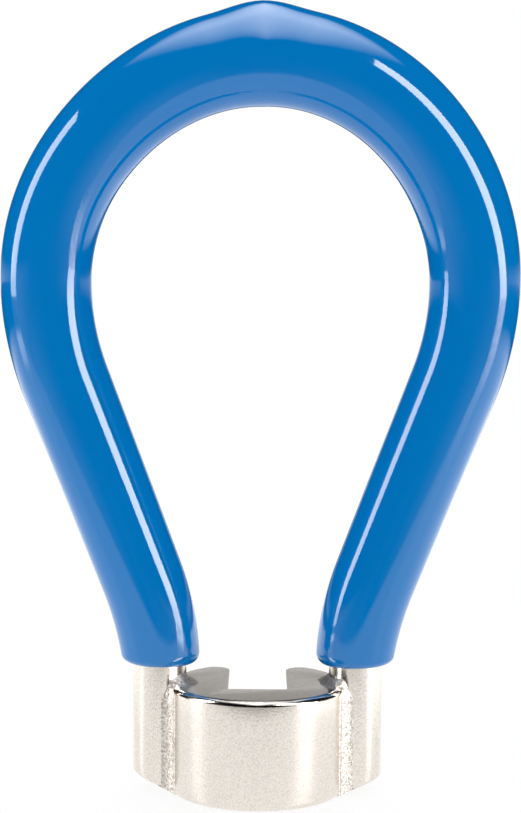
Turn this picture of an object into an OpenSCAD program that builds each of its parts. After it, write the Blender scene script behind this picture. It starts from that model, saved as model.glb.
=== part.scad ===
// Spoke wrench: a slotted nipple head welded between the two ends of a bent rod,
// with a dipped vinyl grip over the rod's loop. Millimetres and degrees, +Z up.
// The head's axis is Z and its base stands on the origin. The loop lies in the XZ plane
// and the slot opens towards +Y.

/* [Head] */
// Diameter of the round bar that the head is turned from
head_d = 12.7; // [11.5:0.1:15]
// Height of the head
head_h = 7.7; // [6:0.1:10]
// Radius of the head's rounded top and bottom edges
head_edge_r = 0.4; // [0.2:0.05:0.8]
// Width of the spoke nipple across its flats
nipple_w = 3.96; // [3.2:0.02:4.6]
// Play across the slot, between its two walls and the nipple
nipple_play = 0.14; // [0.04:0.02:0.3]
// Distance from the head's axis to the slot's closed end
slot_past_axis = 2.3; // [1.6:0.1:3]
// Radius of the rounded lips at the slot's mouth
slot_lip_r = 1.2; // [0.6:0.1:1.6]

/* [Loop rod] */
// Diameter of the rod
rod_d = 3.8; // [3.2:0.1:4.6]
// Depth that each rod end is let into the head's flank
rod_seat = 1.25; // [0.8:0.05:1.6]
// Straight length of rod above the head, before it bends outwards
neck_straight = 0.65; // [0.2:0.05:3]
// Centreline radius of the bend at each neck
neck_bend_r = 19; // [14:0.5:24]
// Lean of the straight legs from vertical
leg_lean = 21.4; // [17:0.1:26]
// Centreline radius of the loop's round top
loop_r = 15.1; // [13:0.1:19]
// Centreline radius of the slacker arcs at the loop's shoulders
shoulder_r = 20; // [16:0.5:25]
// Slope of the bevel turned on the rod's lower ends
bevel_slope = 24; // [12:1:36]

/* [Dipped grip] */
// Bare length of each neck's bend below the grip
neck_bare = 0.78; // [0.3:0.02:3]
// Thickness of the vinyl at the grip's two ends
coat_end_t = 1; // [0.7:0.05:1.6]
// Thickness of the vinyl at the loop's top
coat_top_t = 1.6; // [1:0.05:2.4]
// Radius of the rounded rim at the grip's two ends
coat_rim_r = 0.7; // [0.2:0.05:0.75]
// Outward sag of the wet vinyl at the loop's top
coat_sag = 0.5; // [0:0.05:0.8]
// Half angle of the loop that the sag covers
sag_half_angle = 65; // [40:1:75]
// Angle of the sag's middle from the top, towards +X
sag_angle = 9.5; // [0:0.5:14]
// Height of the drip peak at the loop's top
drip_h = 0.4; // [0:0.05:0.8]
// Half angle of the loop that the drip peak covers
drip_half_angle = 12; // [8:1:24]

/* [Welds] */
// Radius of the hollow face of the weld runs in the valleys between rod and head
weld_face_r = 1.4; // [1:0.1:2]
// Bite of that face into rod and head, which blunts the weld's two toes
weld_bite = 0.03; // [0.02:0.01:0.06]
// Width of the weld collar round each rod on the head's top
collar_w = 0.9; // [0.4:0.05:1.2]
// Height of the weld collar up the rod
collar_h = 0.6; // [0.3:0.05:0.65]

/* [Hidden] */
$fn = 240;

// Clearance of a rod end in the head's groove
rod_play = 0.02;
// Clearance of the vinyl round the rod
coat_play = 0.03;
// Swell of the rod at each tangent point, where two of its stretches meet
rod_swell = 0.01;
// Overrun of every cut past the face that it goes through
overrun = 0.5;
// Most of the grip's end thickness that its rim may round off
rim_limit_share = 0.75;

// Head and slot
head_r = head_d / 2;
flat_r = head_r - head_edge_r;
slot_w = nipple_w + nipple_play;
lip_x = slot_w / 2 + slot_lip_r;
lip_y = sqrt(pow(head_r - slot_lip_r, 2) - pow(lip_x, 2));
lip_reach_share = (head_r + slot_lip_r) / (head_r - slot_lip_r);

// Rod: the arcs meet tangentially, so the leg's length and the heights follow from the radii
rod_r = rod_d / 2;
rod_x = head_r + rod_r - rod_seat;
bend_z = head_h + neck_straight;
shoulder_x = loop_r - shoulder_r;
leg_top_x = shoulder_x + shoulder_r * cos(leg_lean);
leg_foot_x = rod_x + neck_bend_r * (1 - cos(leg_lean));
leg_foot_z = bend_z + neck_bend_r * sin(leg_lean);
leg_len = (leg_top_x - leg_foot_x) / sin(leg_lean);
loop_z = leg_foot_z + leg_len * cos(leg_lean) + shoulder_r * sin(leg_lean);

// Distances along the rod's centreline, from the loop's top to the end of each stretch and of the grip
radian = 180 / PI;
top_end = loop_r * 90 / radian;
shoulder_end = top_end + shoulder_r * leg_lean / radian;
leg_end = shoulder_end + leg_len;
bend_end = leg_end + neck_bend_r * leg_lean / radian;
grip_end = bend_end - neck_bare;
rim_r = min(coat_rim_r, coat_end_t * rim_limit_share);
drip_end = loop_r * (drip_half_angle + sag_angle) / radian;

// The bath's level cut the grip's ends: lean of the rod there, and length of grip that follows the level
end_lean = neck_bare / neck_bend_r * radian;
level_len = 2 * rod_d;

// Sides of the grip's sweep, and its rings along the drip, the rest of the top, each other stretch and a rim
grip_sides = 24;
drip_rings = 8;
top_rings = 9;
stretch_rings = 4;
rim_rings = 4;

// Centre of the weld runs' hollow face, seen in plan on the right of the front
face_head = head_r + weld_face_r - weld_bite;
face_rod = rod_r + weld_face_r - weld_bite;
face_x = (pow(face_head, 2) - pow(face_rod, 2) + pow(rod_x, 2)) / (2 * rod_x);
face_y = -sqrt(pow(face_head, 2) - pow(face_x, 2));
collar_r = rod_r + rod_play;

// Turned blank of the head, with both edges rounded
module head_blank() {
    rotate_extrude() {
        square([flat_r, head_h]);
        translate([0, head_edge_r]) square([head_r, head_h - 2 * head_edge_r]);
        for (z = [head_edge_r, head_h - head_edge_r])
            translate([flat_r, z]) circle(r = head_edge_r);
    }
}

// Slot for the nipple, through the full height and out at the back
module nipple_slot() {
    translate([-slot_w / 2, -slot_past_axis, -overrun])
        cube([slot_w, slot_past_axis + head_r + overrun, head_h + 2 * overrun]);
}

// Corner that is rounded away beside the slot's mouth, on the right
module lip_corner() {
    translate([0, 0, -overrun]) linear_extrude(head_h + 2 * overrun) difference() {
        polygon([
            [lip_x, lip_y],
            [slot_w / 2 - overrun, lip_y],
            [slot_w / 2 - overrun, head_r + slot_lip_r],
            [lip_x, lip_y] * lip_reach_share,
        ]);
        translate([lip_x, lip_y]) circle(r = slot_lip_r);
    }
}

// Groove that the right rod end lies in
module rod_groove() {
    translate([rod_x, 0, -overrun]) cylinder(r = rod_r + rod_play, h = head_h + 2 * overrun);
}

// Conical cut that bevels what stands out past the head's base
module base_bevel() {
    far_r = rod_x + rod_d;
    rotate_extrude() polygon([
        [flat_r, 0],
        [far_r, (far_r - flat_r) * tan(bevel_slope)],
        [far_r, -overrun],
        [flat_r, -overrun],
    ]);
}

module both_sides() {
    children();
    mirror([1, 0, 0]) children();
}

module head() {
    color("silver") difference() {
        head_blank();
        nipple_slot();
        both_sides() {
            lip_corner();
            rod_groove();
        }
    }
}

// Stretch of rod bent round a centre in the XZ plane
module rod_arc(x, z, r, from, turn) {
    translate([x, 0, z]) rotate([90, 0, 0]) rotate([0, 0, from])
        rotate_extrude(angle = turn) translate([r, 0]) circle(r = rod_r);
}

// Ball that closes the rod where two stretches meet
module rod_meeting(place) {
    translate([place[0], 0, place[1]]) sphere(r = rod_r + rod_swell);
}

module loop_rod() {
    color("lightgray") difference() {
        union() {
            rod_arc(0, loop_z, loop_r, 0, 180);
            both_sides() {
                for (s = [top_end, shoulder_end, leg_end, bend_end])
                    rod_meeting(half_place(s));
                rod_arc(shoulder_x, loop_z, shoulder_r, -leg_lean, leg_lean);
                translate([leg_foot_x, 0, leg_foot_z]) rotate([0, leg_lean, 0])
                    cylinder(r = rod_r, h = leg_len);
                rod_arc(rod_x + neck_bend_r, bend_z, neck_bend_r, 180 - leg_lean, leg_lean);
                translate([rod_x, 0, 0]) cylinder(r = rod_r, h = bend_z);
            }
        }
        base_bevel();
    }
}

// Place on the rod's right half at distance s from the loop's top: [x, z, angle of the outward side]
function half_place(s) =
    s <= top_end ?
        let (a = 90 - s / loop_r * radian)
        [loop_r * cos(a), loop_z + loop_r * sin(a), a] :
    s <= shoulder_end ?
        let (a = (top_end - s) / shoulder_r * radian)
        [shoulder_x + shoulder_r * cos(a), loop_z + shoulder_r * sin(a), a] :
    s <= leg_end ?
        let (up = leg_end - s)
        [leg_foot_x + up * sin(leg_lean), leg_foot_z + up * cos(leg_lean), -leg_lean] :
        let (a = (s - leg_end) / neck_bend_r * radian - leg_lean)
        [rod_x + neck_bend_r * (1 - cos(a)), bend_z - neck_bend_r * sin(a), a];

// The same on the whole rod, with s below zero on the left half
function rod_place(s) =
    let (p = half_place(abs(s)))
    s < 0 ? [-p[0], p[1], 180 - p[2]] : p;

// Smooth hump of height 1 round the angle mid, gone at mid - spread and mid + spread
function hump(angle, mid, spread) = pow(cos(90 * min(1, abs(angle - mid) / spread)), 2);

// Radius of the grip's skin at s, facing turn degrees away from the outward side
function skin_r(s, turn) =
    let (
        from_top = s / loop_r * radian,
        coat_t = coat_end_t + (coat_top_t - coat_end_t) * (1 - abs(s) / grip_end),
        rim = max(0, abs(s) - (grip_end - rim_r)),
        sag = coat_sag * hump(from_top, sag_angle, sag_half_angle) * cos(turn),
        drip = drip_h * hump(from_top, 0, drip_half_angle) * pow(max(0, cos(turn)), 2)
    )
    rod_r + coat_t + sag + drip - (rim_r - sqrt(max(0, pow(rim_r, 2) - pow(rim, 2))));

// Radius of the grip's bore: the flats of its polygon stay clear of the rod
function bore_r() = (rod_r + coat_play) / cos(180 / grip_sides);

// Distance along the rod of a ring's point: the rings turn level towards the grip's two ends
function level_s(s, turn) =
    let (near_end = max(0, 1 - (grip_end - abs(s)) / level_len))
    s - sign(s) * near_end * (rod_r + coat_end_t) * cos(turn) * tan(end_lean);

function ring_point(place, r, turn) = [
    place[0] + r * cos(turn) * cos(place[2]),
    r * sin(turn),
    place[1] + r * cos(turn) * sin(place[2]),
];

// Distances from a to b in steps, without a itself
function stretch(a, b, steps) = [for (i = [1:steps]) a + (b - a) * i / steps];

// Vinyl skin: a tube swept along the rod, with its bore, drip and rounded rims
module dipped_grip() {
    half = concat(
        stretch(0, drip_end, drip_rings),
        stretch(drip_end, top_end, top_rings),
        stretch(top_end, shoulder_end, stretch_rings),
        stretch(shoulder_end, leg_end, stretch_rings),
        stretch(leg_end, grip_end - rim_r, stretch_rings),
        [for (i = [1:rim_rings]) grip_end - rim_r * (1 - sin(90 * i / rim_rings))]
    );
    last = len(half) - 1;
    stations = concat([for (i = [last:-1:0]) -half[i]], [0], half);
    rings = len(stations);
    n = grip_sides;
    turns = [for (j = [0:n - 1]) 360 * j / n];
    skin = [for (s = stations, t = turns) ring_point(rod_place(level_s(s, t)), skin_r(s, t), t)];
    bore = [for (s = stations, t = turns) ring_point(rod_place(level_s(s, t)), bore_r(), t)];
    inner = rings * n;
    skin_faces = [
        for (i = [0:rings - 2], j = [0:n - 1])
            let (a = i * n + j, b = i * n + (j + 1) % n)
            each [[a, b, b + n], [a, b + n, a + n]]
    ];
    bore_faces = [for (f = skin_faces) [f[2] + inner, f[1] + inner, f[0] + inner]];
    end = (rings - 1) * n;
    rim_faces = [
        for (j = [0:n - 1])
            let (a = j, b = (j + 1) % n)
            each [
                [a, a + inner, b + inner], [a, b + inner, b],
                [end + a, end + b, end + b + inner], [end + a, end + b + inner, end + a + inner],
            ]
    ];
    color("#1a6dbb") polyhedron(concat(skin, bore), concat(skin_faces, bore_faces, rim_faces));
}

// Plan of the valley between rod and head at the right of the front, up to the weld's hollow face
module valley_plan() {
    difference() {
        polygon([[0, 0], [rod_x, 0], [face_x, face_y]]);
        translate([face_x, face_y]) circle(r = weld_face_r);
    }
}

// Weld metal that fills the right front valley from the bevel to the head's top
module weld_run() {
    color("gainsboro") difference() {
        linear_extrude(head_h) valley_plan();
        translate([0, 0, -overrun]) cylinder(r = head_r, h = head_h + 2 * overrun);
        translate([rod_x, 0, -overrun]) cylinder(r = rod_r, h = head_h + 2 * overrun);
        base_bevel();
    }
}

// Weld collar round the right rod, where it stands on the head's top and on the two runs
module weld_collar() {
    color("gainsboro") intersection() {
        translate([rod_x, 0, head_h]) rotate_extrude()
            polygon([[collar_r, 0], [collar_r + collar_w, 0], [collar_r, collar_h]]);
        translate([0, 0, head_h]) {
            cylinder(r = flat_r, h = collar_h + overrun);
            linear_extrude(collar_h + overrun) valley_plan();
            linear_extrude(collar_h + overrun) mirror([0, 1]) valley_plan();
        }
    }
}

module weld_front_left() { mirror([1, 0, 0]) weld_run(); }
module weld_front_right() { weld_run(); }
module weld_rear_left() { mirror([1, 0, 0]) mirror([0, 1, 0]) weld_run(); }
module weld_rear_right() { mirror([0, 1, 0]) weld_run(); }
module weld_top_left() { mirror([1, 0, 0]) weld_collar(); }
module weld_top_right() { weld_collar(); }

head();
loop_rod();
dipped_grip();
weld_front_left();
weld_front_right();
weld_rear_left();
weld_rear_right();
weld_top_left();
weld_top_right();
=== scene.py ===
# %% [markdown]
# # A loop-handled spoke wrench
# The tool is a slotted nickel-plated head, welded between the two ends of a bent steel rod.
# A thick skin of blue vinyl, dipped and cured, covers the rod's loop.
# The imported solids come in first, as a fixed frame in metres. Every piece below is modelled over
# its own solid, so it is already in its place and needs no moving.

# %% Load the frame
import math

import bmesh
import bpy
from mathutils import Matrix, Vector, noise


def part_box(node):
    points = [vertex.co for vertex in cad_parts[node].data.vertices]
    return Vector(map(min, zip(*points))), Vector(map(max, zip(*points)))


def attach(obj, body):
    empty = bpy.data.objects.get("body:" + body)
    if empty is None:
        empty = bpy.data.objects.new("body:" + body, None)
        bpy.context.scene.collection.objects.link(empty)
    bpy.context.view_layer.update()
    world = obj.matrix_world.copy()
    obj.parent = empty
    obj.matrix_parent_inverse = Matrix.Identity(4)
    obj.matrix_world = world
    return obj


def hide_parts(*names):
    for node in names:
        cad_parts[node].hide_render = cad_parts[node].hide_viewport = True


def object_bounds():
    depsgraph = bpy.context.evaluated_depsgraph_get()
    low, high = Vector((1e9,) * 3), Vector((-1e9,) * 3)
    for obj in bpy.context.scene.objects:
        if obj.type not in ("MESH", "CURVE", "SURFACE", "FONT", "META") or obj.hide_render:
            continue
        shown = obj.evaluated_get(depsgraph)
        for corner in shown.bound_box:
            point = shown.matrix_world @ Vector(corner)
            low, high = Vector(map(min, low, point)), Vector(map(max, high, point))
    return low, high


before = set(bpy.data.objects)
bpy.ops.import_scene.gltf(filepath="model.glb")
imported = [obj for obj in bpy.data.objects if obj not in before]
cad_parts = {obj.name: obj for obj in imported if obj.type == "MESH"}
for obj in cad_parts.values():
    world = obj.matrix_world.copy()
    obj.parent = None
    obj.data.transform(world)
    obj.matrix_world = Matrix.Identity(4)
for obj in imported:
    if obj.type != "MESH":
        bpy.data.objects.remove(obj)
cad_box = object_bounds()
MM = 0.001
print("solids in the frame:", sorted(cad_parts))

# %% [markdown]
# ## Sizes
# Blender works in metres, but a maker thinks of this tool in millimetres, so the lengths are written
# in millimetres and turned to metres only where a mesh is made. The head's radius and height
# are read from the frame. Every other size is given where it is first needed.

# %% Sizes of the head and the rod, in mm
head_low, head_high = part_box("head")
HEAD_R = -head_low.y / MM
HEAD_H = head_high.z / MM
ROD_R = 1.9
ROD_SEAT = 1.25
ROD_X = HEAD_R + ROD_R - ROD_SEAT
print(f"head: {2 * HEAD_R:.2f} mm across, {HEAD_H:.2f} mm high; rod axes {2 * ROD_X:.2f} mm apart")

# %% [markdown]
# ## The line that the rod follows
# The loop is bent from straight lengths and arcs that meet tangentially. A distance along that line,
# measured from the loop's top, is the handiest coordinate: the rod and the vinyl are
# both swept along it. Below the neck's bend the rod runs straight down the head's flank.

# %% Places along the rod, in mm
NECK_STRAIGHT = 0.65
NECK_BEND_R = 19
NECK_BARE = 0.78
LEG_LEAN = math.radians(21.4)
LOOP_R = 15.1
SHOULDER_R = 20

BEND_Z = HEAD_H + NECK_STRAIGHT
SHOULDER_X = LOOP_R - SHOULDER_R
LEG_TOP_X = SHOULDER_X + SHOULDER_R * math.cos(LEG_LEAN)
LEG_FOOT_X = ROD_X + NECK_BEND_R * (1 - math.cos(LEG_LEAN))
LEG_FOOT_Z = BEND_Z + NECK_BEND_R * math.sin(LEG_LEAN)
LEG_LEN = (LEG_TOP_X - LEG_FOOT_X) / math.sin(LEG_LEAN)
LOOP_Z = LEG_FOOT_Z + LEG_LEN * math.cos(LEG_LEAN) + SHOULDER_R * math.sin(LEG_LEAN)

TOP_END = LOOP_R * math.pi / 2
SHOULDER_END = TOP_END + SHOULDER_R * LEG_LEAN
LEG_END = SHOULDER_END + LEG_LEN
BEND_END = LEG_END + NECK_BEND_R * LEG_LEAN
GRIP_END = BEND_END - NECK_BARE
print(f"grip: {2 * GRIP_END:.1f} mm of rod under vinyl; loop centre {LOOP_Z:.2f} mm up")


# %% Points round the rod
def half_place(s):
    """Right half: x, z and the angle of the outward side, s mm down the line from the loop's top."""
    if s <= TOP_END:
        a = math.pi / 2 - s / LOOP_R
        return LOOP_R * math.cos(a), LOOP_Z + LOOP_R * math.sin(a), a
    if s <= SHOULDER_END:
        a = (TOP_END - s) / SHOULDER_R
        return SHOULDER_X + SHOULDER_R * math.cos(a), LOOP_Z + SHOULDER_R * math.sin(a), a
    if s <= LEG_END:
        up = LEG_END - s
        return LEG_FOOT_X + up * math.sin(LEG_LEAN), LEG_FOOT_Z + up * math.cos(LEG_LEAN), -LEG_LEAN
    if s <= BEND_END:
        a = (s - LEG_END) / NECK_BEND_R - LEG_LEAN
        return ROD_X + NECK_BEND_R * (1 - math.cos(a)), BEND_Z - NECK_BEND_R * math.sin(a), a
    return ROD_X, BEND_Z - (s - BEND_END), 0.0


def rod_place(s):
    """The same on the whole rod, with s below zero on the left half."""
    x, z, a = half_place(abs(s))
    return (-x, z, math.pi - a) if s < 0 else (x, z, a)


def ring_point(place, r, turn):
    """Point at radius r round the rod's line, turned away from the loop's outward side."""
    x, z, a = place
    out = r * math.cos(turn)
    return Vector((x + out * math.cos(a), r * math.sin(turn), z + out * math.sin(a)))


widest = ring_point(rod_place(TOP_END), ROD_R, 0)
print(f"rod: {2 * widest.x:.1f} mm across the loop, at a height of {widest.z:.1f} mm")

# %% [markdown]
# ## From rings to a mesh
# Each piece here is a stack of rings: closed loops of points that follow the form, with quads between
# neighbours. Rings put every point where the form needs it, which a subdivided cube can't.
# One function joins the rings. Another makes the object, turns its faces outwards and puts it
# on the body.


# %% Rings and their faces
def steps(a, b, n):
    """n + 1 even steps from a to b."""
    return [a + (b - a) * i / n for i in range(n + 1)]


def join_rings(rings, around=False):
    """Points and faces of a stack of closed rings, capped at both ends or joined round to the first."""
    n = len(rings[0])
    points = [p for ring in rings for p in ring]
    last = len(rings) if around else len(rings) - 1
    faces = []
    for i in range(last):
        a, b = i * n, (i + 1) % len(rings) * n
        faces += [(a + j, a + (j + 1) % n, b + (j + 1) % n, b + j) for j in range(n)]
    if not around:
        faces.append(tuple(range(n)))
        faces.append(tuple(range(len(points) - 1, len(points) - 1 - n, -1)))
    return points, faces


box_points, box_faces = join_rings([[Vector()] * 4] * 2)
print("two rings of four points:", len(box_points), "points and", len(box_faces), "faces, as a box has")


# %% From rings to a piece on its body
def add_piece(name, rings, around=False, node=None, sharp=40):
    """Mesh piece from rings in mm, smooth except at edges sharper than the given angle."""
    points, faces = join_rings(rings, around)
    mesh = bpy.data.meshes.new(name)
    mesh.from_pydata([p * MM for p in points], [], faces)
    shape = bmesh.new()
    shape.from_mesh(mesh)
    bmesh.ops.recalc_face_normals(shape, faces=shape.faces)
    shape.to_mesh(mesh)
    shape.free()
    mesh.shade_smooth()
    mesh.set_sharp_from_angle(angle=math.radians(sharp))
    piece = bpy.data.objects.new(name, mesh)
    bpy.context.scene.collection.objects.link(piece)
    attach(piece, "root")
    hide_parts(node)
    print(f"{name}: {len(points)} points, {len(faces)} faces")
    return piece


# %% [markdown]
# ## The dipped grip
# The loop is heated and dipped top down into liquid vinyl, which gels on it and is then cured. The
# skin is thickest where it hung lowest in the bath: it sags outwards round the loop's top and ends in
# a drip peak. Some ran off one shoulder, which is thinner. The two rims, where the bath's surface was,
# are level, round and thinner on their outer side. A subdivided tube would need each of these forms
# pulled by hand. A sweep with its radius worked out at every point gives them all in one skin.

# %% Waves that the dip leaves, in mm
DIP_WAVE_H = 0.02
DIP_WAVE_LEN = 7
DIP_WAVE_LEVEL = 0.8
DIP_WAVE_SWING = 0.5


def dip_wave(point):
    """Hollows that the gelled vinyl keeps, a few hundredths of a mm deep."""
    return DIP_WAVE_H * (DIP_WAVE_LEVEL + DIP_WAVE_SWING * noise.noise(point / DIP_WAVE_LEN))


waves = [dip_wave(ring_point(rod_place(s), ROD_R, 0)) for s in steps(0, GRIP_END, 100)]
print(f"dip waves: {min(waves):.3f} to {max(waves):.3f} mm deep along the right half")

# %% Thickness of the vinyl, in mm
COAT_END_T = 1.0
COAT_TOP_T = 1.6
COAT_RIM_R = 0.7
COAT_SAG = 0.5
SAG_ANGLE = math.radians(9.5)
SAG_HALF_ANGLE = math.radians(65)
DRIP_H = 0.4
DRIP_HALF_ANGLE = math.radians(12)
RUN_OFF_H = 0.19
RUN_OFF_ANGLE = math.radians(-38)
RUN_OFF_HALF_ANGLE = math.radians(55)
RIM_THIN = 0.22
RIM_THIN_LEN = 6


def hump(angle, mid, half):
    """Smooth hump of height 1 round mid, gone at mid - half and mid + half."""
    return math.cos(math.pi / 2 * min(1, abs(angle - mid) / half)) ** 2


def skin_r(s, turn):
    """Radius of the vinyl's skin at s, facing turn away from the loop's outward side."""
    from_top = s / LOOP_R
    coat = COAT_END_T + (COAT_TOP_T - COAT_END_T) * (1 - abs(s) / GRIP_END)
    sag = COAT_SAG * hump(from_top, SAG_ANGLE, SAG_HALF_ANGLE) * math.cos(turn)
    drip = DRIP_H * hump(from_top, 0, DRIP_HALF_ANGLE) * max(0, math.cos(turn)) ** 2
    outer = (1 + math.cos(turn)) / 2
    run_off = RUN_OFF_H * hump(from_top, RUN_OFF_ANGLE, RUN_OFF_HALF_ANGLE) * outer
    thin = RIM_THIN * max(0, 1 - (GRIP_END - abs(s)) / RIM_THIN_LEN) ** 2 * outer
    rim = max(0, abs(s) - (GRIP_END - COAT_RIM_R))
    rounded = COAT_RIM_R - math.sqrt(max(0, COAT_RIM_R**2 - rim**2))
    wave = dip_wave(ring_point(rod_place(s), ROD_R, turn))
    return ROD_R + coat + sag + drip - run_off - thin - rounded - wave


top_t = skin_r(0, 0) - ROD_R
leg_t = skin_r(LEG_END, 0) - ROD_R
print(f"vinyl: {top_t:.2f} mm thick at the drip, {leg_t:.2f} mm at the foot of a leg")

# %% Grip
GRIP_STEP = 0.4
GRIP_SIDES = 72
RIM_RINGS = 10
COAT_PLAY = 0.03
END_LEAN = NECK_BARE / NECK_BEND_R
LEVEL_LEN = 4 * ROD_R


def level_place(s, turn):
    """Place on the rod for a ring's point: the rings turn level towards the grip's two ends."""
    near_end = max(0, 1 - (GRIP_END - abs(s)) / LEVEL_LEN)
    shift = near_end * (ROD_R + COAT_END_T) * math.cos(turn) * math.tan(END_LEAN)
    return rod_place(s + shift if s < 0 else s - shift)


def sweep(radius):
    """Rings along the grip, with the radius that the given function has for each place and turn."""
    return [[ring_point(level_place(s, t), radius(s, t), t) for t in turns] for s in skin_stations]


def bore_r(s, turn):
    """Radius of the bore that the rod fills."""
    return ROD_R + COAT_PLAY


rim_start = GRIP_END - COAT_RIM_R
rim_stations = [rim_start + COAT_RIM_R * math.sin(a) for a in steps(0, math.pi / 2, RIM_RINGS)]
body_stations = steps(-rim_start, rim_start, round(2 * rim_start / GRIP_STEP))
skin_stations = [-s for s in reversed(rim_stations)] + body_stations[1:-1] + rim_stations
turns = steps(0, 2 * math.pi, GRIP_SIDES)[:-1]
grip_rings = sweep(skin_r) + sweep(bore_r)[::-1]
grip = add_piece("vinyl_grip", grip_rings, around=True, node="dipped_grip")

# %% [markdown]
# ## The loop rod
# One length of round rod, bent cold. Its two ends are ground off with the head's base, which leaves a
# shallow cone on what stands out past the head, a little steeper on the left. Each lower end therefore
# stops on that cone, with a small round corner from tumbling. A curve with a round bevel would make
# the bends but end square, so the rod is a stack of rings too, and its last rings lie on the cone.

# %% Rod ends, in mm
HEAD_EDGE_R = 0.4
FLAT_R = HEAD_R - HEAD_EDGE_R
BEVEL_SLOPE_LEFT = math.radians(24)
BEVEL_SLOPE_RIGHT = math.radians(19.5)
ROD_SIDES = 64
ROD_CORNER_R = 0.22
ROD_MIDDLE_R = 0.1 * ROD_R
CORNER_RINGS = 6

rod_turns = steps(0, 2 * math.pi, ROD_SIDES)[:-1]


def bevel_z(x, y):
    """Height of the ground cone above the head's base."""
    slope = BEVEL_SLOPE_RIGHT if x > 0 else BEVEL_SLOPE_LEFT
    return max(0, math.hypot(x, y) - FLAT_R) * math.tan(slope)


def end_ring(side, r, lift):
    """Ring that follows the cone at a rod's lower end."""
    ring = [ring_point((side * ROD_X, 0, 0 if side > 0 else math.pi), r, t) for t in rod_turns]
    return [Vector((p.x, p.y, bevel_z(p.x, p.y) + lift)) for p in ring]


def end_rings(side):
    """Rings of one rod end, from the wall round the corner to the middle of the cone."""
    corner = steps(0, math.pi / 2, CORNER_RINGS)
    rings = [
        end_ring(side, ROD_R - ROD_CORNER_R * (1 - math.cos(a)), ROD_CORNER_R * (1 - math.sin(a)))
        for a in corner
    ]
    inner = steps(ROD_R - ROD_CORNER_R, ROD_MIDDLE_R, CORNER_RINGS)[1:]
    return rings + [end_ring(side, r, 0) for r in inner]


left_rise, right_rise = [bevel_z(side * (ROD_X + ROD_R), 0) for side in (-1, 1)]
print(f"cone: rises {left_rise:.2f} mm under the left rod, {right_rise:.2f} mm under the right one")

# %% Rod
ROD_STEP = 0.8
END_CLEAR = 2.2

straight_end = BEND_END + BEND_Z - END_CLEAR
rod_stations = steps(-straight_end, straight_end, round(2 * straight_end / ROD_STEP))
rod_rings = list(reversed(end_rings(-1)))
rod_rings += [[ring_point(rod_place(s), ROD_R, t) for t in rod_turns] for s in rod_stations]
rod_rings += end_rings(1)
rod = add_piece("bent_rod", rod_rings, node="loop_rod")

# %% [markdown]
# ## The head
# Turned from half-inch bar, then slotted for the nipple and grooved down both flanks for the rod ends.
# In plan it is one closed outline of arcs and straight walls. Each outline point carries the radius of
# the rounded rim there: wide on the turned edge, fine where a cutter passed. Lofting that outline
# up the head gives real rounded edges everywhere, which a boolean cut with a bevel can't hold.

# %% Places on the head's outline, in mm
SLOT_W = 4.1
SLOT_PAST_AXIS = 2.3
SLOT_LIP_R = 1.2
GROOVE_PLAY = 0.02
GROOVE_R = ROD_R + GROOVE_PLAY
GROOVE_CORNER_R = 0.35

slot_x = SLOT_W / 2
slot_end = -SLOT_PAST_AXIS
lip_x = slot_x + SLOT_LIP_R
lip_y = math.sqrt((HEAD_R - SLOT_LIP_R) ** 2 - lip_x**2)
lip_start = math.atan2(lip_y, lip_x)
corner_reach = HEAD_R - GROOVE_CORNER_R
groove_reach = GROOVE_R + GROOVE_CORNER_R
corner_x = (corner_reach**2 - groove_reach**2 + ROD_X**2) / (2 * ROD_X)
corner_y = math.sqrt(corner_reach**2 - corner_x**2)
corner_out = math.atan2(corner_y, corner_x)
corner_in = math.atan2(corner_y, ROD_X - corner_x)
print(f"slot: {SLOT_W} mm wide, {lip_y - slot_end:.2f} mm deep behind its lips")

# %% Arcs and cut walls
CUT_RIM = 0.1
OUTLINE_STEP = 0.06
FEWEST_STEPS = 6


def arc(x, y, r, start, end, rim_a, rim_b, hollow=False):
    """Points of an arc as (place, outward way, rim radius), the rim going evenly from rim_a to rim_b."""
    n = max(FEWEST_STEPS, round(abs(end - start) * r / OUTLINE_STEP))
    made = []
    for i, a in enumerate(steps(start, end, n)):
        way = Vector((math.cos(a), math.sin(a), 0))
        rim = rim_a + (rim_b - rim_a) * i / n
        made.append((Vector((x, y, 0)) + r * way, -way if hollow else way, rim))
    return made[1:]


def straight(a, b, out):
    """Points of a cut wall from a to b, without a itself."""
    n = round((b - a).length / OUTLINE_STEP)
    return [(a.lerp(b, i / n), out, CUT_RIM) for i in range(1, n + 1)]


groove = arc(ROD_X, 0, GROOVE_R, math.pi + corner_in, math.pi - corner_in, CUT_RIM, CUT_RIM, hollow=True)
print("groove:", len(groove), "points")

# %% Outline of the head in plan
CORNER_RIM = 0.24
RIM_TURN = math.radians(7)
SLOT_CORNER_R = 0.15

turned_end = corner_out + RIM_TURN
half_outline = arc(0, 0, HEAD_R, -math.pi / 2, -turned_end, HEAD_EDGE_R, HEAD_EDGE_R)
half_outline += arc(0, 0, HEAD_R, -turned_end, -corner_out, HEAD_EDGE_R, CORNER_RIM)
half_outline += arc(corner_x, -corner_y, GROOVE_CORNER_R, -corner_out, corner_in, CORNER_RIM, CUT_RIM)
half_outline += groove
half_outline += arc(corner_x, corner_y, GROOVE_CORNER_R, -corner_in, corner_out, CUT_RIM, CORNER_RIM)
half_outline += arc(0, 0, HEAD_R, corner_out, turned_end, CORNER_RIM, HEAD_EDGE_R)
half_outline += arc(0, 0, HEAD_R, turned_end, lip_start, HEAD_EDGE_R, HEAD_EDGE_R)
half_outline += arc(lip_x, lip_y, SLOT_LIP_R, lip_start, math.pi, HEAD_EDGE_R, CUT_RIM)
round_x, round_y = slot_x - SLOT_CORNER_R, slot_end + SLOT_CORNER_R
slot_mouth, slot_foot = Vector((slot_x, lip_y, 0)), Vector((slot_x, round_y, 0))
half_outline += straight(slot_mouth, slot_foot, Vector((-1, 0, 0)))
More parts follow.
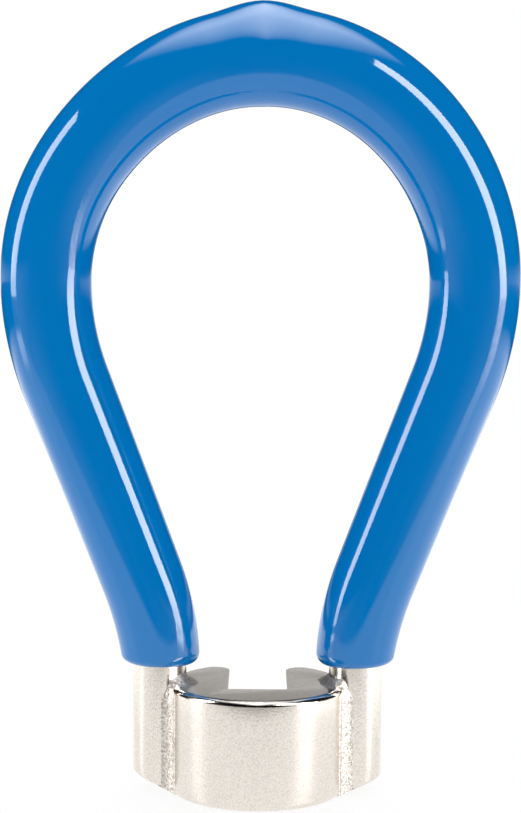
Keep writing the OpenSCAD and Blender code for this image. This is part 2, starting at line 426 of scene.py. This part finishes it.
half_outline += arc(round_x, round_y, SLOT_CORNER_R, 0, -math.pi / 2, CUT_RIM, CUT_RIM, hollow=True)
slot_side, slot_middle = Vector((round_x, slot_end, 0)), Vector((0, slot_end, 0))
half_outline += straight(slot_side, slot_middle, Vector((0, 1, 0)))


def mirrored(entry):
    """The same outline point on the left of the head."""
    place, out, rim = entry
    return Vector((-place.x, place.y, 0)), Vector((-out.x, out.y, 0)), rim


front = (Vector((0, -HEAD_R, 0)), Vector((0, -1, 0)), HEAD_EDGE_R)
outline = [front] + half_outline + [mirrored(e) for e in reversed(half_outline[:-1])]
print("head outline:", len(outline), "points")

# %% Head
EDGE_RINGS = 9
WALL_RINGS = 6
HEAD_SHARP = 60


def edge_ring(turn, upper):
    """Ring on the lower or upper rounded edge: turn 0 is the flat face, a right angle the wall."""
    ring = []
    for place, out, rim in outline:
        inset = rim * (1 - math.sin(turn))
        lift = rim * (1 - math.cos(turn))
        ring.append(place - out * inset + Vector((0, 0, HEAD_H - lift if upper else lift)))
    return ring


edge_turns = steps(0, math.pi / 2, EDGE_RINGS)
lower_edge = [edge_ring(a, False) for a in edge_turns]
upper_edge = [edge_ring(a, True) for a in reversed(edge_turns)]
wall_rings = [
    [low.lerp(high, i / WALL_RINGS) for low, high in zip(lower_edge[-1], upper_edge[0])]
    for i in range(1, WALL_RINGS)
]
head_rings = lower_edge + wall_rings + upper_edge
head = add_piece("nipple_head", head_rings, node="head", sharp=HEAD_SHARP)

# %% [markdown]
# ## The welds
# Weld metal fills the four valleys between rod and head and stands as a collar round each rod on the
# head's top. Its skin froze in coarse pebbles, with a smooth bead where it wetted the head's wall. Bump
# shading would leave the outline straight, so the pebbles are real geometry: each skin point moves out
# by a height taken from a Voronoi pattern of pebble-sized cells. A slow drift makes some patches
# of pebbles taller than others.

# %% Pebbles, in mm
PEBBLE = 0.13
PEBBLE_H = 0.036
PEBBLE_REACH = 0.8
PEBBLE_LEVEL = 0.4
DRIFT_LEN = 4 * PEBBLE
DRIFT_SHARE = 0.6


def pebbles(point):
    """Height of the pebbled weld skin at a point, in mm."""
    near = noise.voronoi(point / PEBBLE)[0][0]
    dome = max(0, 1 - (near / PEBBLE_REACH) ** 2)
    drift = noise.noise(point / DRIFT_LEN)
    return PEBBLE_H * (dome - PEBBLE_LEVEL) * (1 + DRIFT_SHARE * drift)


heights = [pebbles(Vector((x, 0, 0))) for x in steps(0, HEAD_R, 100)]
print(f"pebbles: {min(heights):.3f} to {max(heights):.3f} mm high on a line of {HEAD_R:.1f} mm")

# %% Hollow face of a weld run, in mm
WELD_FACE_R = 1.4
WELD_BITE = 0.03
RUN_STEP = 0.045

face_head = HEAD_R + WELD_FACE_R - WELD_BITE
face_rod = ROD_R + WELD_FACE_R - WELD_BITE
face_x = (face_head**2 - face_rod**2 + ROD_X**2) / (2 * ROD_X)
face_y = -math.sqrt(face_head**2 - face_x**2)
face_start = math.atan2(-face_y, -face_x)
face_end = math.atan2(-face_y, ROD_X - face_x)
face_points = round((face_start - face_end) * WELD_FACE_R / RUN_STEP)
valley = Vector((ROD_X - ROD_R / 2, -ROD_R / 2, 0))
into_valley = (valley - Vector((face_x, face_y, 0))).normalized()
print(f"weld face: {face_points} steps of {RUN_STEP} mm from head to rod")

# %% Rings of a weld run, in mm
RUN_CREST = 0.25
CREST_LEN = 1.3
CREST_SINK = 0.4
BEAD_H = 0.07
BEAD_SHARE = 0.13
TOE_SHARE = 0.15
BURY = 0.3

run_levels = round(HEAD_H / RUN_STEP)
run_top = HEAD_H + RUN_CREST


def run_ring(level, x_way, seed):
    """Ring of the front right weld run: its hollow skin, then the points buried in rod and head."""
    ring = []
    for i, a in enumerate(steps(face_start, face_end, face_points)):
        share = i / face_points
        way = Vector((math.cos(a), math.sin(a), 0))
        place = Vector((face_x, face_y, 0)) + WELD_FACE_R * way
        foot = bevel_z(x_way * place.x, place.y)
        place.z = foot + (run_top - foot) * level
        crest = max(0, 1 - (run_top - place.z) / CREST_LEN)
        place += into_valley * CREST_SINK * crest**2
        rough = min(1, max(0, share - BEAD_SHARE) / BEAD_SHARE, (1 - share) / TOE_SHARE)
        bead = BEAD_H * hump(share, BEAD_SHARE, BEAD_SHARE)
        ring.append(place - way * (bead + rough * pebbles(place + seed)))
    low = ring[0].z
    deep_rod = Vector((ROD_X, -ROD_R + BURY, ring[-1].z))
    deep_head = Vector((face_x, face_y, 0)).normalized() * (HEAD_R - BURY)
    return ring + [deep_rod, Vector((valley.x, valley.y, low)), Vector((deep_head.x, deep_head.y, low))]


print(f"weld run: {run_levels} levels of rings, up to {run_top:.2f} mm above the base")

# %% Weld runs in the valleys
SIDES = {"left": -1, "right": 1}
FACES = {"front": 1, "rear": -1}
RUN_SEED = 10
WELD_SHARP = 80

welds = []
for face, y_way in FACES.items():
    for side, x_way in SIDES.items():
        seed = Vector((x_way, y_way, 0)) * RUN_SEED
        rings = [run_ring(i / run_levels, x_way, seed) for i in range(run_levels + 1)]
        placed = [[Vector((p.x * x_way, p.y * y_way, p.z)) for p in ring] for ring in rings]
        name, node = f"run_{face}_{side}", f"weld_{face}_{side}"
        welds.append(add_piece(name, placed, node=node, sharp=WELD_SHARP))

# %% Rings of a weld collar, in mm
COLLAR_W = 0.85
COLLAR_H = 0.6
COLLAR_HALF = math.radians(70)
COLLAR_HOLLOW = 1.8
COLLAR_UNEVEN = 0.35
UNEVEN_LEN = 0.8
COLLAR_BURY = 0.12
COLLAR_BLUNT = 4

collar_points = round(math.hypot(COLLAR_W, COLLAR_H) / RUN_STEP)
collar_turns = steps(-COLLAR_HALF, COLLAR_HALF, round(2 * COLLAR_HALF * ROD_R / RUN_STEP))


def collar_ring(turn, seed):
    """Section of the right collar, at an angle from the side that faces the head's axis."""
    way = Vector((-math.cos(turn), math.sin(turn), 0))
    foot = Vector((ROD_X, 0, HEAD_H)) + way * ROD_R
    up = Vector((0, 0, 1))
    end = math.cos(math.pi / 2 * (turn / COLLAR_HALF) ** COLLAR_BLUNT)
    uneven = 1 + COLLAR_UNEVEN * noise.noise(foot / UNEVEN_LEN + seed)
    w = max(COLLAR_BURY, COLLAR_W * uneven * end)
    h = max(COLLAR_BURY, COLLAR_H * uneven * end**0.5)
    out = (way * h + up * w).normalized()
    ring = [foot - (way + up) * COLLAR_BURY]
    for t in steps(0, 1, collar_points):
        place = foot + way * w * t + up * h * (1 - t) ** COLLAR_HOLLOW
        ring.append(place + out * pebbles(place + seed) * math.sin(math.pi * t) ** 0.5)
    ring.append(foot + way * (w - COLLAR_BURY) - up * COLLAR_BURY)
    return ring


print(f"weld collar: {len(collar_turns)} rings over {2 * math.degrees(COLLAR_HALF):.0f} degrees")

# %% Weld collars on the head's top
COLLAR_SEED = (7, 3, 5)

for side, x_way in SIDES.items():
    seed = Vector(COLLAR_SEED) * Vector((x_way, 1, 1))
    rings = [[Vector((p.x * x_way, p.y, p.z)) for p in collar_ring(t, seed)] for t in collar_turns]
    name, node = f"collar_{side}", f"weld_top_{side}"
    welds.append(add_piece(name, rings, node=node, sharp=WELD_SHARP))

# %% [markdown]
# ## Materials
# A colour is written as the sRGB hex value that a screen shows, and one function turns it into the
# linear numbers that Blender's shaders work with. Another adds a node with its settings and links, so
# that a material reads as a short list. Patterns are sized in millimetres: a texture's scale is how
# many of its cells fit in a metre.


# %% Material helpers
def linear(hex_colour):
    """Linear RGBA of an sRGB hex colour."""
    channels = [int(hex_colour[i : i + 2], 16) / 255 for i in (1, 3, 5)]
    return [c / 12.92 if c <= 0.04045 else ((c + 0.055) / 1.055) ** 2.4 for c in channels] + [1]


def per_metre(size_mm):
    """Texture scale at which one cell of a pattern measures size_mm."""
    return 1 / (size_mm * MM)


def add_node(tree, kind, inputs=(), **settings):
    """Shader node with its settings. Inputs go by name or in order: values, sockets or whole nodes."""
    made = tree.nodes.new("ShaderNode" + kind)
    for name, value in settings.items():
        setattr(made, name, value)
    for key, value in inputs.items() if isinstance(inputs, dict) else enumerate(inputs):
        if isinstance(value, bpy.types.Node):
            value = next(socket for socket in value.outputs if socket.enabled)
        if isinstance(value, bpy.types.NodeSocket):
            tree.links.new(value, made.inputs[key])
        else:
            made.inputs[key].default_value = value
    return made


def new_material(name, pieces):
    """Tree of an empty node material on the given pieces."""
    made = bpy.data.materials.new(name)
    made.use_nodes = True
    made.node_tree.nodes.clear()
    for piece in pieces:
        piece.data.materials.clear()
        piece.data.materials.append(made)
    return made.node_tree


print("mid grey as linear numbers:", [round(c, 3) for c in linear("#808080")])

# %% [markdown]
# ### Dipped vinyl
# Plasticised PVC, gelled on the hot rod and cured: a deep, even blue under a skin as smooth as poured
# lacquer. It gives the eye mirror-sharp but weak reflections that brighten towards the edges, over a
# colour that hardly changes. The colour drifts a little in clouds, and the cured skin keeps a faint
# orange peel that makes long reflections waver. A painted image would need a seam along the loop. Two
# noise patterns need none, because they fill the space that the skin passes through.

# %% Vinyl, with its patterns in mm
VINYL_BLUE = "#0072B8"
VINYL_DEEP = "#006EB5"
VINYL_ROUGHNESS = 0.05
VINYL_IOR = 1.5
VINYL_CLOUD = 6
VINYL_PEEL = 1.6
PEEL_H = 0.01
PEEL_SHARE = 0.12

tree = new_material("pvc_plastisol_dipped", [grip])
place = add_node(tree, "TexCoord").outputs["Object"]
cloud = add_node(tree, "TexNoise", {"Vector": place, "Scale": per_metre(VINYL_CLOUD), "Detail": 2})
shades = {"Factor": cloud, "A": linear(VINYL_DEEP), "B": linear(VINYL_BLUE)}
colour = add_node(tree, "Mix", shades, data_type="RGBA")
peel = add_node(tree, "TexNoise", {"Vector": place, "Scale": per_metre(VINYL_PEEL), "Detail": 1})
waver = add_node(tree, "Bump", {"Height": peel, "Strength": PEEL_SHARE, "Distance": PEEL_H * MM})
skin = {"Base Color": colour, "Roughness": VINYL_ROUGHNESS, "IOR": VINYL_IOR, "Normal": waver}
add_node(tree, "OutputMaterial", [add_node(tree, "BsdfPrincipled", skin)])
print("vinyl:", len(tree.nodes), "nodes")

# %% [markdown]
# ### Nickel plate
# All the metal was tumbled and plated together after welding, so one colour runs over head, rod and
# welds: the warm pale grey of nickel, with darker pits in the welds. Tumbling leaves a fine sand-like
# grain that turns reflections into a satin glow, with darker grains among the pale ones, and it rubs
# the rounded edges bright. Noise alone would look like worms, so a Voronoi pattern gives each grain its
# own shade and a small dome. The true grain is finer than a pixel of the picture, so it is drawn 0.07 mm
# wide, or 0.12 mm on the welds, as coarse as it needs to show. An edge is found by its slope: flat
# faces point straight up and walls straight aside, and folding the slope at a half makes both zero.


# %% Recipe for nickel plate
SPECK_FROM = 0.15
SPECK_TO = 0.6
SPECK_DULLER = 1.15
PLATE_SHINIER = 0.9
EDGE_FROM = 0.03
EDGE_FULL = 0.15
SLOPE_FOLD = 0.5


def nickel(name, pieces, colours, roughness, edge, grain, grain_h, mottle):
    """Plated metal: colours of plate, patches and specks, its gloss, and its patterns in mm."""
    plate, patch, speck = [linear(c) for c in colours]
    tree = new_material(name, pieces)
    place = add_node(tree, "TexCoord").outputs["Object"]
    sand = add_node(tree, "TexVoronoi", {"Vector": place, "Scale": per_metre(grain)})
    chance = sand.outputs["Color"]
    cloud = add_node(tree, "TexNoise", {"Vector": place, "Scale": per_metre(mottle), "Detail": 4})
    even = add_node(tree, "Mix", {"Factor": cloud, "A": patch, "B": plate}, data_type="RGBA")
    grit = add_node(tree, "MapRange", [chance, SPECK_FROM, SPECK_TO, 0, 1])
    sanded = add_node(tree, "Mix", {"Factor": grit, "A": speck, "B": even}, data_type="RGBA")
    duller, shinier = SPECK_DULLER * roughness, PLATE_SHINIER * roughness
    satin = add_node(tree, "MapRange", [chance, SPECK_FROM, SPECK_TO, duller, shinier])
    facing = add_node(tree, "NewGeometry").outputs["Normal"]
    upward = add_node(tree, "SeparateXYZ", [facing]).outputs["Z"]
    steep = add_node(tree, "Math", [upward], operation="ABSOLUTE")
    slope = add_node(tree, "Math", [steep, SLOPE_FOLD], operation="PINGPONG")
    rubbed = add_node(tree, "MapRange", [slope, EDGE_FROM, EDGE_FULL, 0, 1])
    worn = add_node(tree, "Mix", {"Factor": rubbed, "A": satin, "B": edge})
    relief = add_node(tree, "Bump", {"Height": sand, "Strength": 1, "Distance": grain_h * MM})
    metal = {"Base Color": sanded, "Metallic": 1, "Roughness": worn, "Normal": relief}
    add_node(tree, "OutputMaterial", [add_node(tree, "BsdfPrincipled", metal)])
    print(f"{name}: {len(tree.nodes)} nodes, grain {grain} mm, roughness {roughness}")


print("nickel edges: rubbed from a slope of", EDGE_FROM, "to", EDGE_FULL)

# %% Nickel on the head, the rod and the welds
PLATE = ("#E0D9D1", "#D9D2CA", "#CBC5BD")
WELD_PLATE = ("#DDD6CE", "#D3CCC4", "#ACA59D")
TUMBLED = {"roughness": 0.2, "edge": 0.12, "grain": 0.07, "grain_h": 0.003, "mottle": 1.5}
DRAWN = {"roughness": 0.2, "edge": 0.2, "grain": 0.07, "grain_h": 0.002, "mottle": 1.5}
AS_WELDED = {"roughness": 0.5, "edge": 0.5, "grain": 0.12, "grain_h": 0.006, "mottle": 0.8}

nickel("nickel_plate_tumbled", [head], PLATE, **TUMBLED)
nickel("nickel_plate_on_drawn_rod", [rod], PLATE, **DRAWN)
nickel("nickel_plate_on_weld", welds, WELD_PLATE, **AS_WELDED)

# %% [markdown]
# ## The studio
# The tool stands on a glossy white table in front of white paper. A wide panel of cloth glows overhead,
# brightest in its middle, and a tall softbox leans in on each side. The vinyl mirrors them as the pale
# cap on the loop's top and the long streaks down its limbs, and it mirrors the lit table as a paler
# blue below them. Those lights only feed the reflections. The even light that shows a colour as it is
# comes from the world, so that strong highlights don't wash the colours out.
#
# ### The table
# A table seen in a reflection isn't equally bright all over: it glows most on both sides, where the
# softboxes stand, and fades with distance. Light Path tells such mirrored rays from those of the camera,
# and Position says where on the table a ray lands. To the camera the table is clear apart from a soft
# shadow round the head, so that the paper behind it makes the background.

# %% Table top, in metres
TABLE = 3.0

bpy.ops.mesh.primitive_plane_add(size=TABLE, location=(0, 0, 0))
table = bpy.context.object
table.name = "table"
tree = new_material("white_laminate_table", [table])
rays = add_node(tree, "LightPath").outputs
mirrors = [rays["Is Glossy Ray"], rays["Is Transmission Ray"]]
from_mirror = add_node(tree, "Math", mirrors, operation="MAXIMUM")
place = add_node(tree, "NewGeometry").outputs["Position"]
across, depth, _ = add_node(tree, "SeparateXYZ", [place]).outputs
away = add_node(tree, "VectorMath", [place], operation="LENGTH")
print("table:", TABLE, "m wide")

# %% The table's glow, as reflections see it: places in mm from the tool's axis
TABLE_LEVEL = 1.2
TABLE_BRIGHT = 150
TABLE_EDGE = 220
TABLE_LIT = 48
TABLE_DIM = 60
SIDE_GAIN = 0.65
SIDE_START = 25
SIDE_LIT = 50
SIDE_FRONT = -40
SIDE_BACK = 20
SIDE_TILT = 0.4

aside = add_node(tree, "Math", [across], operation="ABSOLUTE")
wide = add_node(tree, "MapRange", [aside, SIDE_START * MM, SIDE_LIT * MM, 0, SIDE_GAIN])
tilted = add_node(tree, "Math", [across, SIDE_TILT, depth], operation="MULTIPLY_ADD")
rear = add_node(tree, "MapRange", [tilted, SIDE_FRONT * MM, SIDE_BACK * MM, 0, 1])
level = add_node(tree, "Math", [wide, rear, TABLE_LEVEL], operation="MULTIPLY_ADD")
fading = add_node(tree, "MapRange", [away, TABLE_BRIGHT * MM, TABLE_EDGE * MM, 1, 0])
lit = add_node(tree, "Math", [fading, level], operation="MULTIPLY")
glow = add_node(tree, "Emission", {"Strength": lit})
through = add_node(tree, "BsdfTransparent")
near = add_node(tree, "MapRange", [depth, -TABLE_DIM * MM, -TABLE_LIT * MM, 0, 1])
body = add_node(tree, "MixShader", [near, through, glow])
print(f"table glow: {TABLE_LEVEL} in front, {TABLE_LEVEL + SIDE_GAIN:.2f} on both sides")

# %% The table's gloss, which mirrors the softboxes: places in mm from the tool's axis
TABLE_IOR = 1.45
TABLE_ROUGHNESS = 0.06
GLOSS_NEAR = 60
GLOSS_FULL = 100
GLOSS_LEAST = 0.13
GLOSS_LEFT = (-200, -165, -120, -100)

left_none, left_from, left_to, left_gone = [x * MM for x in GLOSS_LEFT]
to_right = add_node(tree, "MapRange", [across, GLOSS_NEAR * MM, GLOSS_FULL * MM, GLOSS_LEAST, 1])
from_left = add_node(tree, "MapRange", [across, left_none, left_from, 0, 1])
until_left = add_node(tree, "MapRange", [across, left_to, left_gone, 1, 0])
to_left = add_node(tree, "Math", [from_left, until_left], operation="MULTIPLY")
polished = add_node(tree, "Math", [to_right, to_left], operation="MAXIMUM")
sheen = add_node(tree, "Fresnel", {"IOR": TABLE_IOR})
shine = add_node(tree, "Math", [sheen, polished], operation="MULTIPLY")
gloss = add_node(tree, "BsdfAnisotropic", {"Color": shine, "Roughness": TABLE_ROUGHNESS})
reflected = add_node(tree, "AddShader", [body, gloss])
print("table gloss: roughness", TABLE_ROUGHNESS)

# %% The table as the camera sees it: a shadow round the head
LAMINATE = "#EFEFEF"
SHADOW_NEAR = 30
SHADOW_FAR = 90
SHADOW_SHARE = 0.12

laminate = add_node(tree, "BsdfDiffuse", {"Color": linear(LAMINATE)})
clear = add_node(tree, "MapRange", [away, SHADOW_NEAR * MM, SHADOW_FAR * MM, 1 - SHADOW_SHARE, 1])
shadowed = add_node(tree, "MixShader", [clear, laminate, through])
seen = add_node(tree, "MixShader", [rays["Is Camera Ray"], laminate, shadowed])
surface = add_node(tree, "MixShader", [from_mirror, seen, reflected])
add_node(tree, "OutputMaterial", [surface])
print("table:", len(tree.nodes), "nodes")

# %% [markdown]
# ### The world
# The world plays three parts. Mirrored rays see a dim room, with the paper behind the tool, a soft line
# at the horizon and the floor beyond the table. The camera sees white paper behind the tool and a pale
# grey room elsewhere. All other rays get an even fill, a little stronger from behind, which lights the
# colours at a plain level.

# %% World as reflections see it
BACKDROP = 0.68
BACKDROP_FROM = 0.88
HORIZON = 0.6
HORIZON_H = 0.05
BESIDE_FROM = -0.9
BESIDE_FULL = -0.4

world = bpy.data.worlds.new("studio")
bpy.context.scene.world = world
world.use_nodes = True
tree = world.node_tree
tree.nodes.clear()
rays = add_node(tree, "LightPath").outputs
mirrors = [rays["Is Glossy Ray"], rays["Is Transmission Ray"]]
from_mirror = add_node(tree, "Math", mirrors, operation="MAXIMUM")
way = add_node(tree, "TexCoord").outputs["Generated"]
_, back, up = add_node(tree, "SeparateXYZ", [way]).outputs
backdrop = add_node(tree, "MapRange", [back, BACKDROP_FROM, 1, 0, BACKDROP])
low = add_node(tree, "MapRange", [up, 0, HORIZON_H, HORIZON, 0])
beside = add_node(tree, "MapRange", [back, BESIDE_FROM, BESIDE_FULL, 0, 1])
horizon = add_node(tree, "Math", [low, beside, backdrop], operation="MULTIPLY_ADD")
print(f"reflections see: paper {BACKDROP}, horizon {HORIZON}")

# %% Floor beyond the table, brighter away from the front
FLOOR = 0.8
FLOOR_TURN = 0.3
FLOOR_DEEP = -0.42

down = add_node(tree, "Math", [up, -1], operation="MULTIPLY")
level_squared = add_node(tree, "Math", [up, down, 1], operation="MULTIPLY_ADD")
level_part = add_node(tree, "Math", [level_squared], operation="SQRT")
from_front = add_node(tree, "Math", [back, level_part], operation="DIVIDE")
turned = add_node(tree, "MapRange", [from_front, -1, FLOOR_TURN - 1, 0, 1])
turned_away = add_node(tree, "Math", [turned], operation="SQRT")
deep = add_node(tree, "MapRange", [up, FLOOR_DEEP, 0, FLOOR, 0])
floor = add_node(tree, "Math", [turned_away, deep], operation="MULTIPLY")
room = add_node(tree, "Math", [horizon, floor], operation="MAXIMUM")
print("floor:", FLOOR, "at its brightest")

# %% World as the camera and the colours see it
ROOM_GREY = 0.72
GREY_TO = 0.6
WHITE_FROM = 0.9
PAPER_WHITE = "#FFFFFF"
FILL = 1.38
FILL_FROM_BACK = 0.57

paper = add_node(tree, "MapRange", [back, GREY_TO, WHITE_FROM, ROOM_GREY, 1])
fill = add_node(tree, "Math", [back, FILL_FROM_BACK, FILL], operation="MULTIPLY_ADD")
unseen = add_node(tree, "Mix", {"Factor": from_mirror, "A": fill, "B": room})
level = add_node(tree, "Mix", {"Factor": rays["Is Camera Ray"], "A": unseen, "B": paper})
air = add_node(tree, "Background", {"Color": linear(PAPER_WHITE), "Strength": level})
add_node(tree, "OutputWorld", [air])
print("world:", len(tree.nodes), "nodes, fill", FILL)

# %% [markdown]
# ### The lamps
# A reflection shows a lamp's shape, so each lamp has the shape and fall-off that the streaks and the cap
# ask for. The panel fades from its middle to its rim as cloth in front of a bulb does, in the shape of a
# diamond. The softboxes stop at the table's height and are a little weaker near it. Vinyl mirrors a
# twentieth of what it faces and nickel most of it, so a panel that is right for one would burn the
# other out. Light linking gives each finish its own panel in the same place. Lamps are measured
# in metres.


# %% Lamps that only feed reflections
def lamp_power(width, length, radiance):
    """Power in watts at which an area lamp of that size has the given radiance."""
    return radiance * math.pi * width * length


def add_lamp(name, width, length, radiance):
    """Rectangular lamp of the given radiance that only reflections show, and its empty node tree."""
    data = bpy.data.lights.new(name, "AREA")
    data.shape = "RECTANGLE"
    data.size = width
    data.size_y = length
    data.energy = lamp_power(width, length, radiance)
    data.use_nodes = True
    data.node_tree.nodes.clear()
    lamp = bpy.data.objects.new(name, data)
    lamp.visible_diffuse = False
    lamp.visible_camera = False
    bpy.context.scene.collection.objects.link(lamp)
    print(f"{name}: {width:.2f} by {length:.2f} m, radiance {radiance}")
    return lamp, data.node_tree


print(f"a lamp of one square metre with a radiance of 1 takes {lamp_power(1, 1, 1):.2f} W")

# %% Overhead panel, one for each finish
PANEL_H = 0.30
PANEL_SIDE = 0.8 * PANEL_H
PANEL_FRONT = 2.4 * PANEL_H
PANEL_BACK = 1.0 * PANEL_H
PANEL_FADE = 1.7
PANEL_RADIANCE = {"vinyl": 7, "nickel": 2.5}
PANEL_LIGHTS = {"vinyl": [grip, table], "nickel": [head, rod] + welds}

for finish, radiance in PANEL_RADIANCE.items():
    panel, tree = add_lamp(f"panel_on_{finish}", 2 * PANEL_SIDE, PANEL_FRONT + PANEL_BACK, radiance)
    panel.location = (0, (PANEL_BACK - PANEL_FRONT) / 2, cad_box[1].z + PANEL_H)
    under_panel = bpy.data.collections.new(f"under_panel_{finish}")
    for piece in PANEL_LIGHTS[finish]:
        under_panel.objects.link(piece)
    panel.light_linking.receiver_collection = under_panel
    place = add_node(tree, "NewGeometry").outputs["Position"]
    across, depth, _ = add_node(tree, "SeparateXYZ", [place]).outputs
    aside = add_node(tree, "Math", [across], operation="ABSOLUTE")
    ahead = add_node(tree, "Math", [depth, -1 / PANEL_FRONT], operation="MULTIPLY")
    behind = add_node(tree, "Math", [depth, 1 / PANEL_BACK], operation="MULTIPLY")
    along = add_node(tree, "Math", [ahead, behind], operation="MAXIMUM")
    to_rim = add_node(tree, "Math", [aside, 1 / PANEL_SIDE, along], operation="MULTIPLY_ADD")
    faded = add_node(tree, "Math", [to_rim, PANEL_FADE], operation="POWER")
    left_over = add_node(tree, "Math", [1, faded], operation="SUBTRACT", use_clamp=True)
    add_node(tree, "OutputLight", [add_node(tree, "Emission", {"Strength": left_over})])

# %% Softboxes, each at an azimuth and elevation from the loop's middle, turned by its lean
BOX_REACH = 0.45
BOX_DIM = 0.02
BOX_LIT = 0.06
BOX_RISE = 16
BOX_W = 0.14
BOXES = {
    "softbox_right": {"azimuth": 58.5, "lean": 36, "length": 0.62, "radiance": 14, "low_share": 0.75},
    "softbox_left": {"azimuth": -80, "lean": -14, "length": 0.40, "radiance": 10, "low_share": 0.65},
}

loop_middle = Vector((0, 0, LOOP_Z * MM))
for name, setting in BOXES.items():
    box, tree = add_lamp(name, BOX_W, setting["length"], setting["radiance"])
    turn, rise = math.radians(setting["azimuth"]), math.radians(BOX_RISE)
    away = Vector((math.sin(turn) * math.cos(rise), -math.cos(turn) * math.cos(rise), math.sin(rise)))
    facing = (-away).to_track_quat("-Z", "Y").to_matrix().to_4x4()
    leaning = Matrix.Rotation(math.radians(setting["lean"]), 4, "Z")
    box.matrix_world = Matrix.Translation(loop_middle + BOX_REACH * away) @ facing @ leaning
    place = add_node(tree, "NewGeometry").outputs["Position"]
    height = add_node(tree, "SeparateXYZ", [place]).outputs["Z"]
    share = add_node(tree, "MapRange", [height, BOX_DIM, BOX_LIT, setting["low_share"], 1])
    over_table = add_node(tree, "Math", [height, 0], operation="GREATER_THAN")
    strength = add_node(tree, "Math", [share, over_table], operation="MULTIPLY")
    add_node(tree, "OutputLight", [add_node(tree, "Emission", {"Strength": strength})])

# %% [markdown]
# ## The camera
# A close camera at the height of the loop's middle looks slightly down. Its distance and lens come from
# the perspective of the head's round edges in the photograph, where the tool leans by less than half
# a degree. The lens is worked out for the photograph's height, which is its longer side.

# %% Camera, in mm and pixels
PHOTO_H = 813
FOCAL_PX = 1840.5
SENSOR = 36
CAMERA_NEAR = 10
CAMERA_PLACE = (0.0665, -130, 36.85)
CAMERA_PITCH = math.radians(4.137)
CAMERA_ROLL = math.radians(0.413)

camera = bpy.data.objects.new("camera", bpy.data.cameras.new("camera"))
camera.data.sensor_width = SENSOR
camera.data.lens = FOCAL_PX * SENSOR / PHOTO_H
camera.data.clip_start = CAMERA_NEAR * MM
turned = Matrix.Rotation(math.pi / 2 - CAMERA_PITCH, 4, "X") @ Matrix.Rotation(CAMERA_ROLL, 4, "Z")
camera.matrix_world = Matrix.Translation(Vector(CAMERA_PLACE) * MM) @ turned
bpy.context.scene.collection.objects.link(camera)
bpy.context.scene.camera = camera
bpy.context.scene.view_settings.view_transform = "Standard"
print(f"camera: {camera.data.lens:.1f} mm lens, {-CAMERA_PLACE[1]} mm in front of the head's axis")

# %% [markdown]
# ## The box of the solids
# The dressed part keeps the size of its solids, so the box round the solids is printed.

# %% Box of the solids
print("box of the solids:", [list(c) for c in cad_box])
